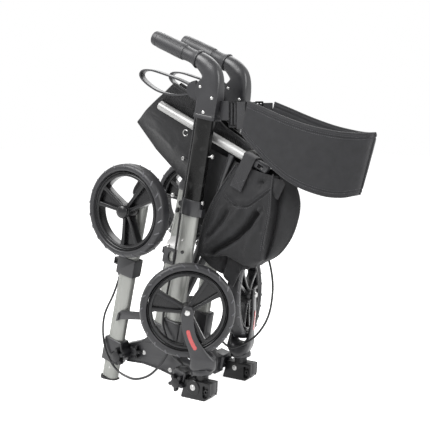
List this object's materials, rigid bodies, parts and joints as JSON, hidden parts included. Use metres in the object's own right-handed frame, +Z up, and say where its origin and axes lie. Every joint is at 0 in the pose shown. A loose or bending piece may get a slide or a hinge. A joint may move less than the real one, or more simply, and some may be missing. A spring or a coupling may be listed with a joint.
{
  "type": "folding rollator",
  "caption": "Folding wheeled walking frame, stored upright: cross-braced sling seat, bag, backrest band, folding rear legs, swivel front wheels and hand brakes.",
  "frame": {"origin": "on the floor, under the middle of the folded walker's box", "axes": "+Z up, +X the way it rolls forward, +Y its left-hand side"},
  "size_m": [0.6152, 0.365, 0.7689],
  "materials": {
    "bag": "thin woven cloth",
    "brace_pin": "plated",
    "left_backrest_half": "padded cloth",
    "left_brake_cable": "satin sheath",
    "left_brake_housing": "satin moulded",
    "left_brake_lever": "satin moulded",
    "left_caster_block": "satin moulded",
    "left_caster_fork": "satin moulded",
    "left_cross_brace": "satin black powder coat",
    "left_fork_reflector": "clear red",
    "left_front_axle": "plated",
    "left_front_knob": "satin moulded",
    "left_front_rim": "satin moulded",
    "left_front_tyre": "solid matt tyre",
    "left_grip": "matt, ribbed",
    "left_handle_head": "satin moulded",
    "left_height_tube": "semi-gloss black",
    "left_leg_foot": "satin moulded",
    "left_leg_socket": "satin moulded",
    "left_lock_button": "satin moulded",
    "left_lower_arm": "satin moulded",
    "left_post_collar": "satin moulded",
    "left_post_tube": "satin anodised champagne",
    "left_rail_end": "satin moulded",
    "left_rear_axle": "black with a moulded cap",
    "left_rear_knob": "satin moulded",
    "left_rear_leg": "satin anodised champagne",
    "left_rear_rim": "satin moulded",
    "left_rear_tyre": "solid matt tyre",
    "left_seat_half": "quilted cloth",
    "left_seat_rail": "bright drawn tube",
    "right_backrest_half": "padded cloth",
    "right_brake_cable": "satin sheath",
    "right_brake_housing": "satin moulded",
    "right_brake_lever": "satin moulded",
    "right_caster_block": "satin moulded",
    "right_caster_fork": "satin moulded",
    "right_cross_brace": "satin black powder coat",
    "right_fork_reflector": "clear red",
    "right_front_axle": "plated",
    "right_front_knob": "satin moulded",
    "right_front_rim": "satin moulded",
    "right_front_tyre": "solid matt tyre",
    "right_grip": "matt, ribbed",
    "right_handle_head": "satin moulded",
    "right_height_tube": "semi-gloss black",
    "right_leg_foot": "satin moulded",
    "right_leg_socket": "satin moulded",
    "right_lock_button": "satin moulded",
    "right_lower_arm": "satin moulded",
    "right_post_collar": "satin moulded",
    "right_post_tube": "satin anodised champagne",
    "right_rail_end": "satin moulded",
    "right_rear_axle": "black with a moulded cap",
    "right_rear_knob": "satin moulded",
    "right_rear_leg": "satin anodised champagne",
    "right_rear_rim": "satin moulded",
    "right_rear_tyre": "solid matt tyre",
    "right_seat_half": "quilted cloth",
    "right_seat_rail": "bright drawn tube"
  },
  "bodies": {
    "right_frame": {"right_post_tube": "right_post_tube", "right_lower_arm": "right_lower_arm", "right_brake_cable": "right_brake_cable"},
    "brace_a": {"right_cross_brace": "right_cross_brace", "brace_pin": "brace_pin", "left_seat_rail": "left_seat_rail", "left_rail_end": "left_rail_end", "left_seat_half": "left_seat_half"},
    "brace_b": {"left_cross_brace": "left_cross_brace", "right_seat_rail": "right_seat_rail", "right_rail_end": "right_rail_end", "right_seat_half": "right_seat_half", "bag": "bag"},
    "left_frame": {"left_post_tube": "left_post_tube", "left_lower_arm": "left_lower_arm", "left_brake_cable": "left_brake_cable"},
    "right_handle": {"right_height_tube": "right_height_tube", "right_post_collar": "right_post_collar", "right_handle_head": "right_handle_head", "right_grip": "right_grip"},
    "right_lever": {"right_brake_lever": "right_brake_lever"},
    "right_backrest": {"right_backrest_half": "right_backrest_half"},
    "right_button": {"right_lock_button": "right_lock_button"},
    "right_leg": {"right_rear_leg": "right_rear_leg", "right_leg_foot": "right_leg_foot", "right_leg_socket": "right_leg_socket", "right_brake_housing": "right_brake_housing", "right_rear_axle": "right_rear_axle"},
    "right_rear_wheel": {"right_rear_tyre": "right_rear_tyre", "right_rear_rim": "right_rear_rim"},
    "right_rear_clamp": {"right_rear_knob": "right_rear_knob"},
    "right_caster_mount": {"right_caster_block": "right_caster_block"},
    "right_fork": {"right_caster_fork": "right_caster_fork", "right_fork_reflector": "right_fork_reflector", "right_front_axle": "right_front_axle"},
    "right_front_wheel": {"right_front_tyre": "right_front_tyre", "right_front_rim": "right_front_rim"},
    "right_front_clamp": {"right_front_knob": "right_front_knob"},
    "left_handle": {"left_height_tube": "left_height_tube", "left_post_collar": "left_post_collar", "left_handle_head": "left_handle_head", "left_grip": "left_grip"},
    "left_lever": {"left_brake_lever": "left_brake_lever"},
    "left_backrest": {"left_backrest_half": "left_backrest_half"},
    "left_button": {"left_lock_button": "left_lock_button"},
    "left_leg": {"left_rear_leg": "left_rear_leg", "left_leg_foot": "left_leg_foot", "left_leg_socket": "left_leg_socket", "left_brake_housing": "left_brake_housing", "left_rear_axle": "left_rear_axle"},
    "left_rear_wheel": {"left_rear_tyre": "left_rear_tyre", "left_rear_rim": "left_rear_rim"},
    "left_rear_clamp": {"left_rear_knob": "left_rear_knob"},
    "left_caster_mount": {"left_caster_block": "left_caster_block"},
    "left_fork": {"left_caster_fork": "left_caster_fork", "left_fork_reflector": "left_fork_reflector", "left_front_axle": "left_front_axle"},
    "left_front_wheel": {"left_front_tyre": "left_front_tyre", "left_front_rim": "left_front_rim"},
    "left_front_clamp": {"left_front_knob": "left_front_knob"}
  },
  "joints": [
    {"name": "frame_fold", "type": "hinge", "parent": "right_frame", "child": "brace_a", "pos_m": [-0.18457, -0.04897, 0.0981], "axis": [-0.8973, 0, 0.4415], "range_deg": [0, 53.4]},
    {"name": "brace_cross", "type": "hinge", "parent": "brace_a", "child": "brace_b", "pos_m": [-0.0815, -0.02197, 0.30756], "axis": [-0.8973, 0, 0.4415], "range_deg": [-106.8, 0], "deforming": ["bag"]},
    {"name": "frame_spread", "type": "hinge", "parent": "brace_b", "child": "left_frame", "pos_m": [-0.18457, 0.00503, 0.0981], "axis": [-0.8973, 0, 0.4415], "range_deg": [0, 53.4]},
    {"name": "right_backrest_swing", "type": "hinge", "parent": "right_handle", "child": "right_backrest", "pos_m": [0.0065, -0.07097, 0.6], "axis": [0.2419, 0, 0.9703], "range_deg": [0, 38.5], "deforming": ["right_backrest_half"]},
    {"name": "right_height", "type": "slide", "parent": "right_frame", "child": "right_handle", "axis": [0.1857, 0, 0.9826], "range_m": [0, 0.12]},
    {"name": "right_brake", "type": "hinge", "parent": "right_handle", "child": "right_lever", "pos_m": [-0.068, -0.07497, 0.645], "axis": [0, 1, 0], "range_deg": [-15, 12], "stiffness_Nm_per_rad": 4},
    {"name": "right_height_lock", "type": "slide", "parent": "right_frame", "child": "right_button", "axis": [0, 1, 0], "range_m": [0, 0.002], "stiffness_N_per_m": 300},
    {"name": "right_leg_fold", "type": "hinge", "parent": "right_frame", "child": "right_leg", "pos_m": [-0.2446, -0.10577, 0.062], "axis": [0, -1, 0], "range_deg": [0, 88], "deforming": ["right_brake_cable"]},
    {"name": "right_rear_wheel_roll", "type": "hinge", "parent": "right_leg", "child": "right_rear_wheel", "pos_m": [-0.19378, -0.14197, 0.392], "axis": [0, 1, 0], "continuous": true},
    {"name": "right_rear_clamp_turn", "type": "hinge", "parent": "right_leg", "child": "right_rear_clamp", "pos_m": [-0.2446, -0.10577, 0.062], "axis": [0, 1, 0], "continuous": true},
    {"name": "right_caster_flip", "type": "hinge", "parent": "right_frame", "child": "right_caster_mount", "pos_m": [-0.0348, -0.09997, 0.03], "axis": [0.974, 0, -0.2267], "range_deg": [0, 180]},
    {"name": "right_caster_swivel", "type": "hinge", "parent": "right_caster_mount", "child": "right_fork", "pos_m": [-0.0348, -0.09997, 0.0525], "axis": [0, 0, 1], "range_deg": [-20, 20]},
    {"name": "right_front_wheel_roll", "type": "hinge", "parent": "right_fork", "child": "right_front_wheel", "pos_m": [-0.05938, -0.11717, 0.189], "axis": [-0.5736, 0.8192, 0], "continuous": true},
    {"name": "right_front_clamp_turn", "type": "hinge", "parent": "right_frame", "child": "right_front_clamp", "pos_m": [-0.086, -0.09997, 0.03], "axis": [0, 1, 0], "continuous": true},
    {"name": "left_backrest_swing", "type": "hinge", "parent": "left_handle", "child": "left_backrest", "pos_m": [0.0065, 0.02703, 0.6], "axis": [0.2419, 0, 0.9703], "range_deg": [-38.5, 0], "deforming": ["left_backrest_half"]},
    {"name": "left_height", "type": "slide", "parent": "left_frame", "child": "left_handle", "axis": [0.1857, 0, 0.9826], "range_m": [0, 0.12]},
    {"name": "left_brake", "type": "hinge", "parent": "left_handle", "child": "left_lever", "pos_m": [-0.068, 0.03103, 0.645], "axis": [0, 1, 0], "range_deg": [-15, 12], "stiffness_Nm_per_rad": 4},
    {"name": "left_height_lock", "type": "slide", "parent": "left_frame", "child": "left_button", "axis": [0, -1, 0], "range_m": [0, 0.002], "stiffness_N_per_m": 300},
    {"name": "left_leg_fold", "type": "hinge", "parent": "left_frame", "child": "left_leg", "pos_m": [-0.2446, 0.06183, 0.062], "axis": [0, -1, 0], "range_deg": [0, 88], "deforming": ["left_brake_cable"]},
    {"name": "left_rear_wheel_roll", "type": "hinge", "parent": "left_leg", "child": "left_rear_wheel", "pos_m": [-0.19378, 0.09803, 0.392], "axis": [0, 1, 0], "continuous": true},
    {"name": "left_rear_clamp_turn", "type": "hinge", "parent": "left_leg", "child": "left_rear_clamp", "pos_m": [-0.2446, 0.06183, 0.062], "axis": [0, 1, 0], "continuous": true},
    {"name": "left_caster_flip", "type": "hinge", "parent": "left_frame", "child": "left_caster_mount", "pos_m": [-0.0348, 0.05603, 0.03], "axis": [-0.974, 0, 0.2267], "range_deg": [0, 180]},
    {"name": "left_caster_swivel", "type": "hinge", "parent": "left_caster_mount", "child": "left_fork", "pos_m": [-0.0348, 0.05603, 0.0525], "axis": [0, 0, 1], "range_deg": [-20, 20]},
    {"name": "left_front_wheel_roll", "type": "hinge", "parent": "left_fork", "child": "left_front_wheel", "pos_m": [-0.04257, 0.08501, 0.189], "axis": [-0.9659, -0.2588, 0], "continuous": true},
    {"name": "left_front_clamp_turn", "type": "hinge", "parent": "left_frame", "child": "left_front_clamp", "pos_m": [-0.086, 0.05603, 0.03], "axis": [0, 1, 0], "continuous": true}
  ],
  "couplings": [
    {"joint": "brace_cross", "follows": "frame_fold", "ratio": -2},
    {"joint": "frame_spread", "follows": "frame_fold", "ratio": 1},
    {"joint": "right_backrest_swing", "follows": "frame_fold", "ratio": 0.72},
    {"joint": "left_backrest_swing", "follows": "frame_fold", "ratio": -0.72}
  ]
}
